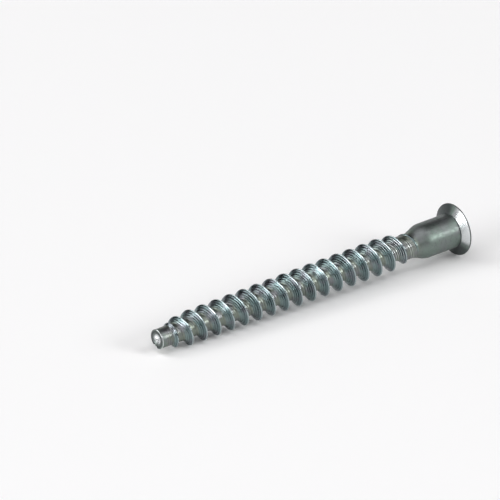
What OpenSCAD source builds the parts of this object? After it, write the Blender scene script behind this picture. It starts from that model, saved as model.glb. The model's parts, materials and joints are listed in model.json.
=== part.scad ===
// One-piece furniture connector screw: a coarse thread, a smooth shoulder and a flat head with a hex socket.
// Sizes are in millimetres and angles in degrees.
// Along the screw, z runs from 0 at the tip to the full length at the face of the head.
// The finished part lies on the rim of its head and on its thread, with +X towards the head and +Z up.

/* [Overall] */
// Length from the tip to the face of the head
length = 70; // [60:0.5:90]

/* [Head] */
// Diameter of the head
head_d = 10.2; // [8.5:0.1:12]
// Height of the straight rim below the face
rim_height = 0.25; // [0.15:0.05:0.6]
// Height of the cone between the rim and the shoulder
head_cone_height = 0.8; // [0.4:0.05:2]
// Bevel around the edge of the face
face_bevel = 0.08; // [0.02:0.01:0.12]

/* [Hex socket] */
// Width of the socket across its flats
socket_flats = 4; // [3:0.1:4.6]
// Depth of the six flat walls
socket_depth = 3.5; // [2:0.1:5]
// Full angle of the cone that the drill leaves at the bottom
socket_bottom_angle = 120; // [100:5:150]
// Bevel that reaches past the corners at the mouth
socket_bevel = 0.1; // [0.05:0.05:0.3]

/* [Shoulder and neck] */
// Diameter of the smooth shoulder
shoulder_d = 6.75; // [6.2:0.05:8]
// Length of the straight part of the shoulder
shoulder_length = 6.5; // [4:0.1:9]
// Length of the rounded taper from the shoulder to the neck
taper_length = 3.95; // [2:0.05:6]
// Diameter of the neck between the thread and the taper
neck_d = 4.8; // [4.3:0.1:5.6]
// Length of the neck that the last turn runs out on
neck_length = 1.4; // [0.6:0.1:3]

/* [Thread] */
// Diameter over the crests
thread_d = 6.8; // [6:0.1:7.4]
// Diameter of the core between the turns
core_d = 3.7; // [3.4:0.1:4.5]
// Distance from one turn to the next
pitch = 3.13; // [2.6:0.01:4]
// Width of the flat along the crest
crest_width = 0.15; // [0.05:0.05:0.4]
// Length, along the screw, of the flank that faces the tip
front_flank = 1; // [0.6:0.05:1.2]
// Length, along the screw, of the flank that faces the head
back_flank = 0.8; // [0.5:0.05:1]
// Distance of the first crest from the tip
thread_start = 1.5; // [1.5:0.05:4]
// Turn of the first crest about the screw, from straight below
thread_start_angle = 115; // [0:5:355]
// Length over which the crest rises steeply from the core
lead_in = 6.5; // [3:0.5:14]
// Share of the full height that the steep rise gives
lead_share = 0.72; // [0.5:0.01:0.95]
// Length over which the crest reaches its full height
full_rise = 32; // [15:1:45]
// Length over which the crest sinks into the neck
run_out = 4; // [2:0.5:8]
// Length over which the valleys rise to the neck
valley_rise = 2.2; // [1:0.1:3]

/* [Tip] */
// Diameter just behind the rounded edge of the tip
tip_d = 3.7; // [3:0.1:4]
// Width of the rounded edge of the tip
tip_bevel = 0.25; // [0.1:0.05:0.3]
// Depth of the dish in the end of the tip
tip_dish = 0.35; // [0.1:0.05:0.6]
// Width of the flat ring around the dish
tip_ring = 0.35; // [0.1:0.05:0.6]
// Length over which the tip widens to the core
tip_taper = 4; // [1:0.5:8]

/* [Hidden] */

// Flat faces around one turn of the thread
sides = 36;
// Cone bands along the rounded taper
taper_bands = 16;
// Faces around the turned shapes
$fn = 96;

head_r = head_d / 2;
shoulder_r = shoulder_d / 2;
neck_r = neck_d / 2;
thread_r = thread_d / 2;
core_r = core_d / 2;
tip_r = tip_d / 2;

// Heights of the turned shapes along the screw
rim_bottom = length - rim_height;
shoulder_top = rim_bottom - head_cone_height;
taper_top = shoulder_top - shoulder_length;
taper_bottom = taper_top - taper_length;

// The threaded rod runs on into the taper, a little inside the neck's surface
rod_lap = 0.6;
rod_inset = 0.02;
neck_bottom = taper_bottom - neck_length;
thread_gap = 0.1;
thread_top = taper_bottom - thread_gap;

// The crest's section: offset along the screw, and share of the full height
section = [
    [-crest_width / 2 - front_flank, 0],
    [-crest_width / 2, 1],
    [crest_width / 2, 1],
    [crest_width / 2 + back_flank, 0]
];
section_points = len(section);

// Rows of section points along the helix, one for each face around the turn
thread_room = thread_top - section[section_points - 1][0] - thread_start;
rows = floor(sides * thread_room / pitch);
thread_end = crest_z(rows);

// A rise from 0 to 1 that slows towards its end, and one that is slow at both ends
function share(t) = min(max(t, 0), 1);
function ease_out(t) = 1 - pow(1 - share(t), 2);
function ease_both(t) = (1 - cos(180 * share(t))) / 2;

// The crest's place along and about the screw
function crest_z(row) = thread_start + pitch * row / sides;
function row_angle(row) = thread_start_angle + 360 * row / sides;

// Radius of the rod in the valleys, and of the crest
function valley_r(z) =
    tip_r + (core_r - tip_r) * ease_out(z / tip_taper)
    + (neck_r - rod_inset - core_r) * ease_both(1 - (neck_bottom - z) / valley_rise);
function lead_rise(z) =
    lead_share * ease_out((z - thread_start) / lead_in) + (1 - lead_share) * ease_out((z - thread_start) / full_rise);
function crest_share(z) = lead_rise(z) * ease_out((thread_end - z) / run_out);
function crest_r(z) = valley_r(z) + (thread_r - valley_r(z)) * crest_share(z);

function around(r, angle, z) = [r * cos(angle), r * sin(angle), z];
function ring(r, z) = [for (i = [0:sides - 1]) around(r, row_angle(i), z)];
function section_point(row, place) =
    let (z = crest_z(row) + place[0])
    around(place[1] > 0 ? crest_r(z) : valley_r(z), row_angle(row), z);

// The end of the tip, from inside the dish to behind the rounded edge: radius and height of each ring
dish_r = tip_r - tip_bevel - tip_ring;
tip_rings = [
    [dish_r / 3, tip_dish * 8 / 9],
    [dish_r * 2 / 3, tip_dish * 5 / 9],
    [dish_r, 0],
    [tip_r - tip_bevel, 0],
    [tip_r - tip_bevel * 0.3, tip_bevel * 0.3],
    [tip_r, tip_bevel]
];
last_tip_ring = len(tip_rings) - 1;

// Numbers of the points in the list, from the dish's centre to the end of the rod
function tip_at(k, i) = 1 + k * sides + i % sides;
first_row_at = 1 + len(tip_rings) * sides;
first_neck_at = first_row_at + (rows + 1) * section_points;
function neck_at(i) = first_neck_at + i % sides;
function end_at(i) = first_neck_at + sides + i % sides;

// Past a row's last point comes the first point of the next turn, or the neck after the last turn
function row_at(row, c) =
    c < section_points ? first_row_at + row * section_points + c :
    row + sides <= rows ? row_at(row + sides, 0) : neck_at(row);

// Two triangles for a four-sided face, given as left low, left high, right high and right low
function halves(a, b, c, d) = [[a, b, c], [a, c, d]];

rod_points = concat(
    [[0, 0, tip_dish]],
    [for (k = tip_rings) each ring(k[0], k[1])],
    [for (row = [0:rows], place = section) section_point(row, place)],
    ring(neck_r - rod_inset, thread_top),
    ring(neck_r - rod_inset, taper_bottom + rod_lap)
);

rod_faces = concat(
    [for (i = [0:sides - 1]) [0, tip_at(0, i), tip_at(0, i + 1)]],
    [for (k = [0:last_tip_ring - 1], i = [0:sides - 1])
        each halves(tip_at(k, i), tip_at(k + 1, i), tip_at(k + 1, i + 1), tip_at(k, i + 1))],
    // From the tip up to the first turn, and the blunt start of the thread
    [for (i = [0:sides - 2])
        each halves(tip_at(last_tip_ring, i), row_at(i, 0), row_at(i + 1, 0), tip_at(last_tip_ring, i + 1))],
    [[tip_at(last_tip_ring, sides - 1), row_at(sides - 1, 0), row_at(sides, 0)]],
    [for (c = [0:section_points - 1])
        [tip_at(last_tip_ring, sides - 1), row_at(0, c + 1), row_at(0, c)]],
    [[tip_at(last_tip_ring, sides - 1), row_at(0, 0), tip_at(last_tip_ring, 0)]],
    // The turns
    [for (row = [0:rows - 1], c = [0:section_points - 1])
        each halves(row_at(row, c), row_at(row, c + 1), row_at(row + 1, c + 1), row_at(row + 1, c))],
    // The end of the thread, and the rod's end inside the taper
    [for (c = [0:section_points - 1]) [row_at(rows, c), row_at(rows, c + 1), neck_at(rows + 1)]],
    [for (i = [0:sides - 1]) each halves(neck_at(i), end_at(i), end_at(i + 1), neck_at(i + 1))],
    [[for (i = [sides - 1:-1:0]) end_at(i)]]
);

// Slope at which the lowest crest and the head's rim touch one flat surface
rest_tilt = min([for (row = [0:rows])
    atan((head_r - crest_r(crest_z(row)) * cos(row_angle(row))) / (rim_bottom - crest_z(row)))]);
rest_height = head_r * cos(rest_tilt) - rim_bottom * sin(rest_tilt);
rest_middle = (length * cos(rest_tilt) + (head_r - tip_r) * sin(rest_tilt)) / 2;

// Core and thread in one rolled rod
module threaded_rod() {
    polyhedron(points = rod_points, faces = rod_faces, convexity = 10);
}

// Taper, shoulder and head, turned about the screw's axis
module turned_head() {
    taper = [for (k = [0:taper_bands])
        [neck_r + (shoulder_r - neck_r) * ease_both(k / taper_bands), taper_bottom + taper_length * k / taper_bands]];
    rotate_extrude()
        polygon(concat(
            [[0, taper_bottom]],
            taper,
            [[shoulder_r, shoulder_top], [head_r, rim_bottom], [head_r, length - face_bevel]],
            [[head_r - face_bevel, length], [0, length]]
        ));
}

// Hexagon, the drill's cone below it and the bevel around its mouth
module hex_socket() {
    corner_r = socket_flats / 2 / cos(30);
    flat_r = socket_flats / 2;
    mouth_r = corner_r + socket_bevel;
    overshoot = 0.5;
    bottom = length - socket_depth;
    cone_height = flat_r / tan(socket_bottom_angle / 2);
    translate([0, 0, bottom])
        cylinder(r = corner_r, h = socket_depth + overshoot, $fn = 6);
    translate([0, 0, bottom - cone_height])
        cylinder(r1 = 0, r2 = flat_r, h = cone_height);
    translate([0, 0, length - mouth_r])
        cylinder(r1 = 0, r2 = mouth_r + overshoot, h = mouth_r + overshoot);
}

module connector_screw() {
    color([0.66, 0.7, 0.7])
        translate([-rest_middle, 0, rest_height])
            rotate([0, 90 - rest_tilt, 0])
                union() {
                    threaded_rod();
                    difference() {
                        turned_head();
                        hex_socket();
                    }
                }
}

connector_screw();
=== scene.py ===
"""Looks of the one-piece furniture connector screw: mesh, zinc plating, floor, lamps and camera."""
import json
import math

import bpy
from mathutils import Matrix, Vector


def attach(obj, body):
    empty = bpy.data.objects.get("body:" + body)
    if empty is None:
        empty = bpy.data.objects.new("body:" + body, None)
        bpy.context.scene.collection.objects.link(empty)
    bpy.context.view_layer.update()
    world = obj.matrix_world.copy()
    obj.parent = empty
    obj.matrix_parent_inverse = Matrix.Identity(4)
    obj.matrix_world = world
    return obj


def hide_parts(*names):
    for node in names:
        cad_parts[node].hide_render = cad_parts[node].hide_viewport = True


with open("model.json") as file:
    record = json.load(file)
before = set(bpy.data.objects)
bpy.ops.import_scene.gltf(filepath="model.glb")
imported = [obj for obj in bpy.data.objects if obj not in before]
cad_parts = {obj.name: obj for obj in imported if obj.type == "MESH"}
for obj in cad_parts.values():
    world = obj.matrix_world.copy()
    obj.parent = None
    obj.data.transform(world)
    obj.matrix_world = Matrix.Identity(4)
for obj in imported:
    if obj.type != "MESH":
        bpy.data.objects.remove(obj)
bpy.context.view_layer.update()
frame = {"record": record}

# The screw's sizes are in millimetres, with heights along it from the tip, and the scene is in metres
MM = 0.001
mounts = {mount["name"]: mount for mount in frame["record"]["mounts"]}

# Head, shoulder and neck
LENGTH = 70
HEAD_R = 5.1
RIM_HEIGHT = 0.25
HEAD_CONE_HEIGHT = 0.8
SHOULDER_R = mounts["shoulder"]["dims"]["r_mm"]
SHOULDER_LENGTH = mounts["shoulder"]["dims"]["length_mm"]
TAPER_LENGTH = 3.95
NECK_R = 2.4
NECK_LENGTH = 1.4
RIM_BOTTOM = LENGTH - RIM_HEIGHT
SHOULDER_TOP = RIM_BOTTOM - HEAD_CONE_HEIGHT
TAPER_TOP = SHOULDER_TOP - SHOULDER_LENGTH
TAPER_BOTTOM = TAPER_TOP - TAPER_LENGTH
NECK_BOTTOM = TAPER_BOTTOM - NECK_LENGTH

# Groove between the shoulder and the cone, which is painted dark as shade, foot of the cone, and rounded
# edges of the rim
SHOULDER_EDGE = SHOULDER_TOP - 0.3
GROOVE_START = SHOULDER_TOP - 0.22
GROOVE_BOTTOM = SHOULDER_TOP - 0.08
GROOVE_DEPTH = 0.05
CONE_FOOT_R = SHOULDER_R + 0.1
CONE_FOOT = SHOULDER_TOP + 0.045
RIM_ROUNDING = 0.07

# Hex socket, with a narrow ledge between its walls and the drill's cone
SOCKET_FLAT_R = 2
SOCKET_SIDE_ANGLE = math.pi / 3
SOCKET_DEPTH = 3.5
SOCKET_BEVEL = 0.1
SOCKET_MOUTH_R = SOCKET_FLAT_R / math.cos(SOCKET_SIDE_ANGLE / 2) + SOCKET_BEVEL
SOCKET_LEDGE = 0.03
DRILL_HALF_ANGLE = math.radians(60)

# Helix of the thread, which starts as a ridge straight around the tip
THREAD_R = 3.4
CORE_R = 1.85
PITCH = 3.13
THREAD_START = 1.5
THREAD_START_ANGLE = math.radians(115)
FIRST_RIDGE = 3.1
FIRST_RIDGE_BEND = 0.5
VALLEY_RISE = 2.2
UNEVENNESS = 0.02

# Section of the thread, with its roundings and the least width of its flanks as shares of the full section
CREST_WIDTH = 0.15
FRONT_FLANK = 1.0
BACK_FLANK = 0.8
FRONT_FOOT_ROUNDING = 0.65
BACK_FOOT_ROUNDING = 0.14
CREST_ROUNDING = 0.1
CREST_TOP_ROUNDING = 0.08
LEAST_WIDTH = 0.12

# Rise of the crest behind the tip and its fall at the neck, each in two stages
CREST_BEGIN = 0.6
CREST_BEGIN_LENGTH = 0.15
LEAD_BEGIN = -0.1
LEAD_LENGTH = 6.5
LEAD_SHARE = 0.81
FULL_RISE = 36
RUN_OUT_END = NECK_BOTTOM + 0.2
RUN_OUT_LENGTH = 4
RUN_OUT_SHARE = 0.78
LAST_RUN_OUT_END = TAPER_BOTTOM + 0.9
LAST_RUN_OUT_LENGTH = 3

# Striations along the valley and the front flank, where a stretch makes up for the slope of the flank
STRIA_PITCH = 0.47
STRIA_DEPTH = 0.06
STRIA_MEAN = 0.64
STRIA_START = -2.1
STRIA_FADE_IN = 0.3
STRIA_END = -0.12
STRIA_FADE_OUT = 0.15
STRIA_STRENGTH = 0.8
STRIA_PATCHINESS = 0.65
STRIA_WANDER = 0.03
FLANK_STRETCH = 0.85
FLANK_BEND = 0.2

# Tip: radius and height of its rings and their polish and painted light, from the dish outwards; this
# paints a highlight in the dish's middle and on the bead, and shade on the dish's edge and the flat ring
TIP_R = 1.85
TIP_BEVEL = 0.25
TIP_RING = 0.35
TIP_DISH = 0.35
DISH_R = TIP_R - TIP_BEVEL - TIP_RING
DISH_RINGS = [
    (DISH_R * 0.2, 0.33, 1),
    (DISH_R * 0.4, 0.29, 1),
    (DISH_R * 0.6, 0.24, 0.9),
    (DISH_R * 0.8, 0.17, 0.2),
    (DISH_R, 0.06, -0.4),
]
EDGE_RINGS = [
    (DISH_R + 0.12, 0, -0.9),
    (TIP_R - TIP_BEVEL, 0, -0.8),
    (TIP_R - 0.06, 0.04, 0),
    (TIP_R + 0.02, 0.09, 0.5),
    (TIP_R + 0.06, 0.15, 0.8),
    (TIP_R + 0.05, 0.21, 0.5),
]

# Unevenness of the dish as size, waves around and shift, and the notch in the edge
DISH_WAVES = [(0.3, 2, 1), (0.25, 3, 0)]
NOTCH_ANGLE = math.radians(20)
NOTCH_HALF_ANGLE = math.radians(14)
NOTCH_REACH = 1.6
NOTCH_INWARD = 0.15
NOTCH_DEPTH = 0.2

# Finish and painted light: reach of the rolled surface, least height of a pale crest, wear, painted shade
# in the striations' grooves and the groove, the rim painted dark, and the cone's painted highlight on one
# side and painted shade on the rest
ROLLED_START = 0.5
ROLLED_FADE_IN = 0.8
ROLLED_END = TAPER_BOTTOM + 2.2
ROLLED_FADE_OUT = 2.6
PALE_CREST_HEIGHT = 0.15
WORN_START = NECK_BOTTOM - 10
WORN_POLISH = 0.5
STRIA_PAINTED_SHADE = 0.6
GROOVE_EDGE_PAINTED_SHADE = 0.2
RIM_DARK_FADE = 0.03
CONE_PAINTED_SHADE = -0.75
CONE_HIGHLIGHT_SIDE = math.radians(-120)
CONE_HIGHLIGHT_HALF_ANGLE = math.radians(70)
CONE_HIGHLIGHT_FADE = math.radians(35)

# Fineness of the mesh: each band across one pitch has its start, offset from the crest, and its steps
AROUND = 72
SECTION_END = 1.0
SECTION_BANDS = [(SECTION_END - PITCH, 20), (-1.1, 31), (-0.12, 7), (0.12, 8)]
TAPER_BANDS = 20
SHOULDER_BANDS = 8
ROUNDING_STEPS = 4
SHARP_ANGLE = math.radians(40)

# Tints of the plating: the pale crest also paints a highlight, the bright tint serves polish and painted
# highlights, and the dark one paints shade
VALLEY_OLIVE = (0.207, 0.235, 0.2, 1)
FOOT_TEAL = (0.212, 0.276, 0.27, 1)
FLANK_TEAL = (0.15, 0.207, 0.213, 1)
FLANK_MAUVE = (0.2, 0.198, 0.226, 1)
CREST_PALE_HIGHLIGHT = (0.455, 0.53, 0.54, 1)
SHOULDER_GREEN = (0.183, 0.228, 0.204, 1)
SHOULDER_GREY = (0.207, 0.205, 0.22, 1)
SPECKLE_DARK = (0.115, 0.12, 0.13, 1)
POLISH_AND_HIGHLIGHT_BRIGHT = (0.72, 0.745, 0.755, 1)
PAINTED_SHADE_DARK = (0.06, 0.065, 0.07, 1)

# Roughness of the plating, as one number or as the range that noise moves it in
VALLEY_ROUGHNESS = 0.37
FLANK_ROUGHNESS = (0.21, 0.31)
SHOULDER_ROUGHNESS = (0.42, 0.50)
POLISH_ROUGHNESS = 0.24

# Noise of the plating: sizes, detail, and the values that most of it lies between
STREAK_WIDTH = 0.11
STREAK_LENGTH = 3.5
STREAK_DETAIL = 2.0
TINT_PATCH = 2.2
SATIN_PATCH = 0.6
SPECKLE_PATCH = 0.35
PATCH_DETAIL = 3.0
NOISE_LOW = 0.35
NOISE_HIGH = 0.65

# Fine relief of the streaks, which is weaker on the shoulder
STREAK_BUMP = 0.3
STREAK_RELIEF = 0.03
SHOULDER_RELIEF = 0.2

# Studio, in metres
FLOOR_HALF = 4
FLOOR_GREY = (0.92, 0.92, 0.92, 1)
FLOOR_ROUGHNESS = 0.9
WORLD_GLOW = (0.034, 0.028, 0.034, 1)
SOFTBOX_DISTANCE = 4.0

# Camera: direction in degrees, distance in metres, and its lens and its aim in millimetres
CAMERA_AZIMUTH = -37.55
CAMERA_ELEVATION = 25.2
CAMERA_DISTANCE = 0.933
CAMERA_LENS = 363.2
CAMERA_SENSOR = 36
CAMERA_TARGET = Vector((-0.28, 0, 3.96))
AIM_LEFT = 10.63
AIM_UP = 6.19


def share(value):
    """The value, kept between 0 and 1."""
    return min(max(value, 0.0), 1.0)


def ease_out(value):
    """Rise from 0 to 1 that slows towards its end."""
    return 1 - (1 - share(value)) ** 2


def ease_both(value):
    """Rise from 0 to 1 that is slow at both ends."""
    return (1 - math.cos(math.pi * share(value))) / 2


def soft_min(a, b, width):
    """The smaller of two values, with the corner between them rounded."""
    return min(a, b) - max(width - abs(a - b), 0) ** 2 / (4 * width)


def soft_max(a, b, width):
    """The larger of two values, with the corner between them rounded."""
    return -soft_min(-a, -b, width)


def wobble(angle, seed):
    """Slow unevenness along the helix, between -1 and 1: three waves with their speeds and shifts."""
    waves = [(0.73, 1.0), (1.9, 2.3), (4.3, 3.1)]
    return sum(math.sin(speed * angle + shift * seed) for speed, shift in waves) / len(waves)


def away(angle, middle):
    """Size of the turn between two angles."""
    return abs((angle - middle + math.pi) % (2 * math.pi) - math.pi)


def steps_to(start, end, count):
    """Heights in equal steps after the start, up to the end."""
    return [start + (end - start) * step / count for step in range(1, count + 1)]


def section_offsets():
    """Offsets across one pitch, closest together over the striations and the crest."""
    ends = [start for start, _ in SECTION_BANDS[1:]] + [SECTION_END]
    offsets = []
    for (start, steps), end in zip(SECTION_BANDS, ends):
        offsets += [start + (end - start) * step / steps for step in range(steps)]
    return offsets


def crest_z(row):
    """Height of the helix at a row."""
    return THREAD_START + PITCH * row / AROUND


def row_angle(row):
    """Angle of a row about the screw, from straight below."""
    return THREAD_START_ANGLE + 2 * math.pi * row / AROUND


def row_through(step, z):
    """Row of the helix, at one step around the turn, whose section holds the height z."""
    turn = math.ceil((z - crest_z(step) - SECTION_END) / PITCH)
    return step + turn * AROUND


def base_radius(z):
    """Radius of the rod without its thread: core, neck and taper."""
    neck = (NECK_R - CORE_R) * ease_both(1 - (NECK_BOTTOM - z) / VALLEY_RISE)
    taper = (SHOULDER_R - NECK_R) * ease_both((z - TAPER_BOTTOM) / TAPER_LENGTH)
    return CORE_R + neck + taper


def crest_height(z):
    """Share of the full height that the crest has at z: blunt start, lead-in and run-out."""
    start = ease_both((z - CREST_BEGIN) / CREST_BEGIN_LENGTH)
    lead_in = LEAD_SHARE * share((z - LEAD_BEGIN) / LEAD_LENGTH) + (1 - LEAD_SHARE) * share(z / FULL_RISE)
    run_out = RUN_OUT_SHARE * ease_out((RUN_OUT_END - z) / RUN_OUT_LENGTH)
    last_run_out = (1 - RUN_OUT_SHARE) * ease_out((LAST_RUN_OUT_END - z) / LAST_RUN_OUT_LENGTH)
    return start * lead_in * (run_out + last_run_out)


def crest_line(row):
    """Height of the crest's line, which starts as a ring around the tip before it follows the helix."""
    return soft_max(crest_z(row), FIRST_RIDGE, FIRST_RIDGE_BEND)


def section_height(offset, width):
    """Share of the crest's height at an offset from it, with the flanks at a share of their full width."""
    front = soft_max((offset + CREST_WIDTH / 2) / (FRONT_FLANK * width) + 1, 0, FRONT_FOOT_ROUNDING)
    back = soft_max((CREST_WIDTH / 2 - offset) / (BACK_FLANK * width) + 1, 0, BACK_FOOT_ROUNDING)
    return soft_min(soft_min(front, back, CREST_ROUNDING), 1, CREST_TOP_ROUNDING)


def striation(offset, angle):
    """Rounded ridges with sharp grooves that the rolling leaves along the valley and the front flank.

    Gives the radius to add, how strong they are, and the share of a ridge's height.
    """
    up_flank = max(offset + CREST_WIDTH / 2 + FRONT_FLANK, 0)
    steepness = 1 + FLANK_STRETCH * ease_both(up_flank / FLANK_BEND)
    along_surface = offset + FLANK_STRETCH * up_flank + STRIA_WANDER * wobble(angle, seed=0.9)
    fade_in = ease_both((offset - STRIA_START) / STRIA_FADE_IN)
    fade_out = ease_both((STRIA_END - offset) / STRIA_FADE_OUT)
    strength = fade_in * fade_out * (STRIA_STRENGTH + STRIA_PATCHINESS * wobble(angle, seed=2.0))
    ridge = abs(math.sin(math.pi * along_surface / STRIA_PITCH))
    return STRIA_DEPTH * steepness * strength * (ridge - STRIA_MEAN), strength, ridge


def thread_point(row, z):
    """Radius on the rod and its finish and painted light, for a row along the helix and a height z."""
    angle = row_angle(row)
    base = base_radius(z)
    full = THREAD_R - base + UNEVENNESS * wobble(angle, seed=1.1)
    shifted_z = z - UNEVENNESS * wobble(angle, seed=0.4)
    raised, near_crest = 0.0, 0.0
    for turn in (row - AROUND, row):
        height = crest_height(crest_z(turn))
        part = section_height(shifted_z - crest_line(turn), LEAST_WIDTH + (1 - LEAST_WIDTH) * height)
        if height * part > raised:
            raised, near_crest = height * part, part * share(height / PALE_CREST_HEIGHT)
    added, strength, ridge = striation(shifted_z - crest_line(row), angle)
    rolled = ease_both((z - ROLLED_START) / ROLLED_FADE_IN) * ease_both((ROLLED_END - z) / ROLLED_FADE_OUT)
    worn = WORN_POLISH * ease_both((z - WORN_START) / (NECK_BOTTOM - WORN_START))
    # Painted shade darkens the striations' grooves, and the ridges near the neck are polished bright.
    polish_and_painted_light = rolled * strength * (worn * ridge - STRIA_PAINTED_SHADE * (1 - ridge))
    return base + full * raised + rolled * added, (near_crest, rolled, polish_and_painted_light)


def helix_grain(row, z):
    """Place for the grain of the rolled thread: two numbers across the turn and one along it."""
    across = 2 * math.pi * (z - crest_z(row)) / PITCH
    ring_r = PITCH / (2 * math.pi)
    along = (THREAD_R + CORE_R) / 2 * row_angle(row)
    return ring_r * math.cos(across), ring_r * math.sin(across), along


class Builder:
    """Collects points given about the screw's axis, their finish and painted light and grain, and the faces
    between them.

    The finish and painted light hold the crest's share, how much the thread rolling marked the place, and
    its polish and painted light, which is above zero where polished or painted with a highlight, and below
    zero where shade is painted dark.
    """

    def __init__(self):
        self.points = []
        self.finishes_and_painted_light = []
        self.grains = []
        self.faces = []

    def point(self, radius, angle, z, finish_and_painted_light=(0, 0, 0), grain=None):
        """A new point. Returns its number."""
        spot = (radius * math.cos(angle), radius * math.sin(angle), z)
        self.points.append(spot)
        self.finishes_and_painted_light.append(finish_and_painted_light)
        self.grains.append(grain or spot)
        return len(self.points) - 1

    def rod_point(self, row, z):
        """A new point on the threaded rod. Returns its number."""
        radius, finish_and_painted_light = thread_point(row, z)
        return self.point(radius, row_angle(row), z, finish_and_painted_light, helix_grain(row, z))

    def ring(self, profile):
        """A ring of points, from a function of the angle that gives radius, height and polish and painted
        light.
        """
        made = []
        for step in range(AROUND):
            radius, z, polish_and_painted_light = profile(row_angle(step))
            made.append(self.point(radius, row_angle(step), z, (0, 0, polish_and_painted_light)))
        return made

    def face(self, *corners):
        """A face between points. Corners that are the same point count once."""
        corners = list(dict.fromkeys(corners))
        if len(corners) > 2:
            self.faces.append(corners)

    def bridge(self, lower, upper):
        """Faces between two rings."""
        for step in range(AROUND):
            after = (step + 1) % AROUND
            self.face(lower[step], lower[after], upper[after], upper[step])

    def stack(self, lower, profiles):
        """Rings on top of a ring, each joined to the one before it. Returns the last one."""
        for profile in profiles:
            upper = self.ring(profile)
            self.bridge(lower, upper)
            lower = upper
        return lower

    def cap(self, centre, ring):
        """Faces between a ring and the point in its middle."""
        for step in range(AROUND):
            self.face(centre, ring[step], ring[(step + 1) % AROUND])


def build_thread(builder, low, high):
    """The threaded rod between two heights. Returns its end rings."""
    offsets = section_offsets()
    ends = {}
    for z in (low, high):
        ends[z] = [builder.rod_point(row_through(step, z), z) for step in range(AROUND)]
    made = {}

    def corner(row, column):
        """Point at a row and a column of the section, or on an end ring where that lies past the end."""
        if column == len(offsets):
            row, column = row + AROUND, 0
        z = crest_z(row) + offsets[column]
        if z <= low or z >= high:
            return ends[low if z <= low else high][row % AROUND]
        if (row, column) not in made:
            made[row, column] = builder.rod_point(row, z)
        return made[row, column]

    first = math.floor((low - SECTION_END - THREAD_START) / PITCH * AROUND) - AROUND
    last = math.ceil((high - offsets[0] - THREAD_START) / PITCH * AROUND)
    for row in range(first, last):
        for column in range(len(offsets)):
            builder.face(
                corner(row, column),
                corner(row + 1, column),
                corner(row + 1, column + 1),
                corner(row, column + 1),
            )
    return ends[low], ends[high]


def dish_place(radius, z, polish_and_painted_light):
    """Ring of the dish, which is deeper at some angles than at others."""

    def profile(angle):
        waves = sum(size * math.sin(count * angle + shift) for size, count, shift in DISH_WAVES)
        return radius, z * (1 + waves), polish_and_painted_light

    return profile


def edge_place(radius, z, polish_and_painted_light):
    """Ring of the tip's edge, which has a notch at one place."""

    def profile(angle):
        notch = ease_both(NOTCH_REACH - away(angle, NOTCH_ANGLE) / NOTCH_HALF_ANGLE)
        return radius - NOTCH_INWARD * notch, z + NOTCH_DEPTH * notch, polish_and_painted_light

    return profile


def build_tip(builder, rod_ring):
    """Uneven dish, flat ring with a notch, and beaded edge at the end of the tip."""
    # The rings' last numbers paint a highlight in the dish's middle and on the bead, and dark shade on the
    # dish's edge and the flat ring.
    profiles = [dish_place(*ring) for ring in DISH_RINGS]
    profiles += [edge_place(*ring) for ring in EDGE_RINGS]
    first_ring = builder.ring(profiles[0])
    builder.cap(builder.point(0, 0, TIP_DISH, (0, 0, 1)), first_ring[::-1])
    builder.bridge(builder.stack(first_ring, profiles[1:]), rod_ring)


def rounded(outline, corners, size):
    """The outline with the corners of these numbers turned into short curves."""
    made = []
    for number, (radius, z) in enumerate(outline):
        if number not in corners:
            made.append((radius, z))
            continue
        here = Vector((radius, z))
        before = here + (Vector(outline[number - 1]) - here).normalized() * size
        after = here + (Vector(outline[number + 1]) - here).normalized() * size
        for step in range(ROUNDING_STEPS + 1):
            t = step / ROUNDING_STEPS
            curve = before * (1 - t) ** 2 + here * 2 * t * (1 - t) + after * t ** 2
            made.append((curve.x, curve.y))
    return made


def cone_painted_light(angle):
    """Painted light on the cone under the head: a painted highlight on one side only, and painted shade on
    the rest.
    """
    inside = CONE_HIGHLIGHT_HALF_ANGLE - away(angle, CONE_HIGHLIGHT_SIDE)
    return CONE_PAINTED_SHADE + (1 - CONE_PAINTED_SHADE) * ease_both(inside / CONE_HIGHLIGHT_FADE)


def head_painted_light(z, angle):
    """Painted light of the head: the cone's own, then the rim painted dark, and a plain face."""
    if z >= LENGTH:
        return 0
    # The rim is painted dark, and the cone carries its painted highlight and shade.
    cone_share = 2 * share((RIM_BOTTOM - z) / RIM_DARK_FADE) - 1
    return cone_share * cone_painted_light(angle) if cone_share > 0 else cone_share


def turned(radius, z, polish_and_painted_light=0):
    """Ring that is the same all around."""
    return lambda angle: (radius, z, polish_and_painted_light)


def head_place(radius, z):
    """Ring of the head, with the head's painted light."""
    return lambda angle: (radius, z, head_painted_light(z, angle))


def build_head(builder, neck_ring, taper_from):
    """Taper, shoulder, groove, cone, rim and face. Returns the ring around the socket's mouth."""
    taper = [turned(base_radius(z), z) for z in steps_to(taper_from, TAPER_TOP, TAPER_BANDS)]
    shoulder = [turned(SHOULDER_R, z) for z in steps_to(TAPER_TOP, SHOULDER_EDGE, SHOULDER_BANDS)]
    # The groove is painted dark as shade, a little at its lower edge and fully further in.
    groove = [
        turned(SHOULDER_R, GROOVE_START, -GROOVE_EDGE_PAINTED_SHADE),
        turned(SHOULDER_R - GROOVE_DEPTH, GROOVE_BOTTOM, -1),
        turned(SHOULDER_R, SHOULDER_TOP, -1),
    ]
    outline = [(CONE_FOOT_R, CONE_FOOT), (HEAD_R, RIM_BOTTOM), (HEAD_R, LENGTH), (SOCKET_MOUTH_R, LENGTH)]
    rim_corners = (1, 2)
    head = [head_place(*ring) for ring in rounded(outline, rim_corners, RIM_ROUNDING)]
    return builder.stack(neck_ring, taper + shoulder + groove + head)


def hexagon_radius(angle):
    """Distance from the axis to the wall of the socket, which has a corner straight below."""
    return SOCKET_FLAT_R / math.cos(angle % SOCKET_SIDE_ANGLE - SOCKET_SIDE_ANGLE / 2)


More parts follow.
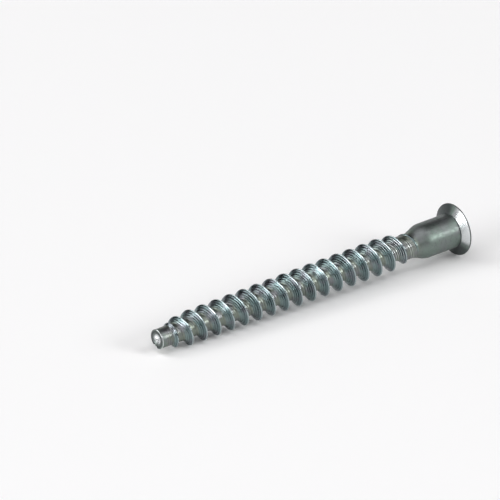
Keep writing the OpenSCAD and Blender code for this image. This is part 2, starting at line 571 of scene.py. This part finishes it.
def build_socket(builder, mouth_ring):
    """Bevelled mouth, six walls and the cone that the drill left."""
    bottom = LENGTH - SOCKET_DEPTH
    cone_height = SOCKET_FLAT_R / math.tan(DRILL_HALF_ANGLE)
    last_ring = builder.stack(mouth_ring, [
        lambda angle: (hexagon_radius(angle), LENGTH - SOCKET_MOUTH_R + hexagon_radius(angle), 0),
        lambda angle: (hexagon_radius(angle), bottom, 0),
        turned(SOCKET_FLAT_R - SOCKET_LEDGE, bottom),
        turned(SOCKET_FLAT_R / 2, bottom - cone_height / 2),
    ])
    builder.cap(builder.point(0, 0, bottom - cone_height), last_ring)


def in_frame(point, face_mount):
    """A point about the screw's axis, put in the CAD frame in metres."""
    axis = Vector(face_mount["axis"]).normalized()
    below = Vector((axis.z, 0, -axis.x))
    side = Vector((0, 1, 0))
    x, y, z = point
    return Vector(face_mount["pos_m"]) + (below * x + side * y + axis * (z - LENGTH)) * MM


def make_screw():
    """The whole screw as one closed mesh."""
    builder = Builder()
    tip_ring, neck_ring = build_thread(builder, TIP_BEVEL, ROLLED_END)
    build_tip(builder, tip_ring)
    build_socket(builder, build_head(builder, neck_ring, ROLLED_END))
    mesh = bpy.data.meshes.new("connector_screw_looks")
    mesh.from_pydata([in_frame(point, mounts["hex_socket"]) for point in builder.points], [], builder.faces)
    for name, vectors in (("finish_and_painted_light", builder.finishes_and_painted_light), ("grain", builder.grains)):
        stored = mesh.attributes.new(name, "FLOAT_VECTOR", "POINT")
        stored.data.foreach_set("vector", [number for vector in vectors for number in vector])
    mesh.shade_smooth()
    mesh.set_sharp_from_angle(angle=SHARP_ANGLE)
    mesh.materials.append(zinc_plating())
    screw = bpy.data.objects.new("connector_screw_looks", mesh)
    bpy.context.scene.collection.objects.link(screw)
    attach(screw, "root")
    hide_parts("connector_screw")


def feed(tree, socket, value):
    """Links a socket to another node's output, or sets it to a number or a colour."""
    if isinstance(value, bpy.types.NodeSocket):
        tree.links.new(value, socket)
    else:
        socket.default_value = value


def node(tree, kind, **inputs):
    """A new node with its inputs fed. An underscore in an input's name stands for a space."""
    made = tree.nodes.new(kind)
    for name, value in inputs.items():
        feed(tree, made.inputs[name.replace("_", " ")], value)
    return made


def attribute(tree, name):
    """Vector that the mesh stores at its points."""
    made = tree.nodes.new("ShaderNodeAttribute")
    made.attribute_name = name
    return made.outputs["Vector"]


def noise(tree, where, scale, detail):
    """Noise between 0 and 1."""
    return node(tree, "ShaderNodeTexNoise", Vector=where, Scale=scale, Detail=detail).outputs["Fac"]


def streak_noise(tree):
    """Noise in streaks that follow the thread, or the axis on the shoulder."""
    stretch = tree.nodes.new("ShaderNodeVectorMath")
    stretch.operation = "MULTIPLY"
    feed(tree, stretch.inputs[0], attribute(tree, "grain"))
    feed(tree, stretch.inputs[1], (1 / STREAK_WIDTH, 1 / STREAK_WIDTH, 1 / STREAK_LENGTH))
    return noise(tree, stretch.outputs[0], scale=1.0, detail=STREAK_DETAIL)


def patch_noise(tree, size):
    """Noise in round patches of a size in millimetres."""
    where = tree.nodes.new("ShaderNodeTexCoord").outputs["Object"]
    return noise(tree, where, scale=1 / (size * MM), detail=PATCH_DETAIL)


def ramp(tree, value, start, end, low=0, high=1):
    """Smooth change from a low number to a high one while the value goes from start to end."""
    limits = {"From_Min": start, "From_Max": end, "To_Min": low, "To_Max": high}
    made = node(tree, "ShaderNodeMapRange", Value=value, **limits)
    made.interpolation_type = "SMOOTHSTEP"
    return made.outputs["Result"]


def noise_ramp(tree, value, limits):
    """Number that noise moves between two limits."""
    return ramp(tree, value, NOISE_LOW, NOISE_HIGH, *limits)


def mix(tree, factor, first, second, kind="RGBA"):
    """Mix of two colours, or of two numbers with the kind VALUE."""
    made = tree.nodes.new("ShaderNodeMix")
    made.data_type = "RGBA" if kind == "RGBA" else "FLOAT"
    for name, value in (("Factor", factor), ("A", first), ("B", second)):
        wanted = "VALUE" if name == "Factor" else kind
        feed(tree, next(s for s in made.inputs if s.name == name and s.type == wanted), value)
    return next(s for s in made.outputs if s.type == kind)


def thread_tint(tree, crest, patches):
    """Olive valley, teal foot, darker teal flank with mauve patches, and pale crest that also paints a
    highlight along it.
    """
    tint = mix(tree, ramp(tree, crest, start=0.02, end=0.18), VALLEY_OLIVE, FOOT_TEAL)
    tint = mix(tree, ramp(tree, crest, start=0.25, end=0.6), tint, FLANK_TEAL)
    tint = mix(tree, ramp(tree, patches, start=0.45, end=0.65, high=0.7), tint, FLANK_MAUVE)
    # The pale crest is partly a painted highlight.
    return mix(tree, ramp(tree, crest, start=0.86, end=0.98, high=0.72), tint, CREST_PALE_HIGHLIGHT)


def shoulder_tint(tree, patches):
    """Grey-green shoulder with mauve-grey patches and fine dark speckle."""
    tint = mix(tree, ramp(tree, patches, start=0.35, end=0.7, high=0.6), SHOULDER_GREEN, SHOULDER_GREY)
    speckle = ramp(tree, patch_noise(tree, SPECKLE_PATCH), start=0.5, end=0.7, high=0.4)
    return mix(tree, speckle, tint, SPECKLE_DARK)


def plating_tint(tree, crest, rolled, polish_and_painted_light):
    """Tint of the thread and the shoulder, brighter where polished and where a highlight is painted, and
    dark where shade is painted.
    """
    patches = patch_noise(tree, TINT_PATCH)
    tint = mix(tree, rolled, shoulder_tint(tree, patches), thread_tint(tree, crest, patches))
    tint = mix(tree, ramp(tree, polish_and_painted_light, start=0, end=1), tint, POLISH_AND_HIGHLIGHT_BRIGHT)
    # Painted shade: the dark tint where the value is below zero.
    return mix(tree, ramp(tree, polish_and_painted_light, start=-1, end=-0.05, low=0.85, high=0), tint, PAINTED_SHADE_DARK)


def plating_roughness(tree, crest, rolled, polish_and_painted_light, streaks):
    """Satin valley and shoulder, smoother flanks and polished places."""
    flank = noise_ramp(tree, streaks, FLANK_ROUGHNESS)
    thread = mix(tree, ramp(tree, crest, start=0.05, end=0.4), VALLEY_ROUGHNESS, flank, "VALUE")
    shoulder = noise_ramp(tree, patch_noise(tree, SATIN_PATCH), SHOULDER_ROUGHNESS)
    rough = mix(tree, rolled, shoulder, thread, "VALUE")
    return mix(tree, ramp(tree, polish_and_painted_light, start=0, end=1), rough, POLISH_ROUGHNESS, "VALUE")


def streak_relief(tree, rolled, streaks):
    """Normal of the surface with the streaks as fine relief."""
    height = node(tree, "ShaderNodeMath", Value=streaks)
    height.operation = "MULTIPLY"
    feed(tree, height.inputs[1], ramp(tree, rolled, start=0, end=1, low=SHOULDER_RELIEF))
    bump = node(
        tree, "ShaderNodeBump", Height=height.outputs[0], Strength=STREAK_BUMP, Distance=STREAK_RELIEF * MM
    )
    return bump.outputs["Normal"]


def zinc_plating():
    """Bright zinc on the whole screw, which follows the finish and painted light and the grain that the
    mesh stores.
    """
    material = bpy.data.materials.new("zinc_plated_steel_looks")
    material.use_nodes = True
    tree = material.node_tree
    finish_and_painted_light = node(tree, "ShaderNodeSeparateXYZ", Vector=attribute(tree, "finish_and_painted_light"))
    crest, rolled, polish_and_painted_light = (finish_and_painted_light.outputs[axis] for axis in "XYZ")
    streaks = streak_noise(tree)
    shader = tree.nodes["Principled BSDF"]
    feed(tree, shader.inputs["Base Color"], plating_tint(tree, crest, rolled, polish_and_painted_light))
    feed(tree, shader.inputs["Roughness"], plating_roughness(tree, crest, rolled, polish_and_painted_light, streaks))
    feed(tree, shader.inputs["Normal"], streak_relief(tree, rolled, streaks))
    shader.inputs["Metallic"].default_value = 1
    return material


def pale_floor():
    """Matt, nearly white material."""
    material = bpy.data.materials.new("pale_floor")
    material.use_nodes = True
    shader = material.node_tree.nodes["Principled BSDF"]
    shader.inputs["Base Color"].default_value = FLOOR_GREY
    shader.inputs["Roughness"].default_value = FLOOR_ROUGHNESS
    shader.inputs["Specular IOR Level"].default_value = 0
    return material


def make_floor():
    """Flat floor that the screw lies on."""
    corners = [(x * FLOOR_HALF, y * FLOOR_HALF, 0) for x, y in ((-1, -1), (1, -1), (1, 1), (-1, 1))]
    mesh = bpy.data.meshes.new("floor")
    mesh.from_pydata(corners, [], [(0, 1, 2, 3)])
    mesh.materials.append(pale_floor())
    floor = bpy.data.objects.new("floor", mesh)
    bpy.context.scene.collection.objects.link(floor)


def direction(azimuth, elevation):
    """Unit vector from the screw. Azimuth 0 is the front and 90 the head's side, in degrees."""
    a, e = math.radians(azimuth), math.radians(elevation)
    return Vector((math.sin(a) * math.cos(e), -math.cos(a) * math.cos(e), math.sin(e)))


def softbox(name, azimuth, elevation, width, height, power):
    """Rectangular lamp that faces the screw, with angles in degrees, sizes in metres and power in watts."""
    lamp = bpy.data.lights.new(name, "AREA")
    lamp.shape = "RECTANGLE"
    lamp.size = width
    lamp.size_y = height
    lamp.energy = power
    box = bpy.data.objects.new(name, lamp)
    towards = direction(azimuth, elevation)
    box.location = towards * SOFTBOX_DISTANCE
    box.rotation_mode = "QUATERNION"
    box.rotation_quaternion = (-towards).to_track_quat("-Z", "Y")
    bpy.context.scene.collection.objects.link(box)


def make_lights():
    """A faint glow all around and seven softboxes."""
    world = bpy.data.worlds.new("studio")
    world.use_nodes = True
    background = world.node_tree.nodes["Background"]
    background.inputs["Color"].default_value = WORLD_GLOW
    bpy.context.scene.world = world
    softbox("key", azimuth=-138, elevation=44, width=2.8, height=2.0, power=56)
    softbox("back_card", azimuth=152, elevation=18, width=2.4, height=1.2, power=12)
    softbox("left_card", azimuth=-88, elevation=17, width=2.8, height=1.5, power=100)
    softbox("camera_card", azimuth=-38, elevation=33, width=2.6, height=1.8, power=32)
    softbox("front_card", azimuth=31, elevation=24, width=1.6, height=1.2, power=60)
    softbox("front_high", azimuth=45, elevation=54, width=1.6, height=1.2, power=25)
    softbox("top_card", azimuth=-75, elevation=80, width=3.8, height=1.4, power=41)


def make_camera():
    """A long lens at the photo's viewing angle, with the screw off the picture's middle as it is there."""
    camera = bpy.data.cameras.new("camera")
    camera.lens = CAMERA_LENS
    camera.sensor_width = CAMERA_SENSOR
    eye = bpy.data.objects.new("camera", camera)
    back = direction(CAMERA_AZIMUTH, CAMERA_ELEVATION)
    right = Vector((0, 0, 1)).cross(back).normalized()
    up = back.cross(right)
    aim = (CAMERA_TARGET - right * AIM_LEFT + up * AIM_UP) * MM
    eye.location = aim + back * CAMERA_DISTANCE
    eye.rotation_mode = "QUATERNION"
    eye.rotation_quaternion = (-back).to_track_quat("-Z", "Y")
    bpy.context.scene.collection.objects.link(eye)
    bpy.context.scene.camera = eye


make_screw()
make_floor()
make_lights()
make_camera()
bpy.context.scene.view_settings.view_transform = "Standard"
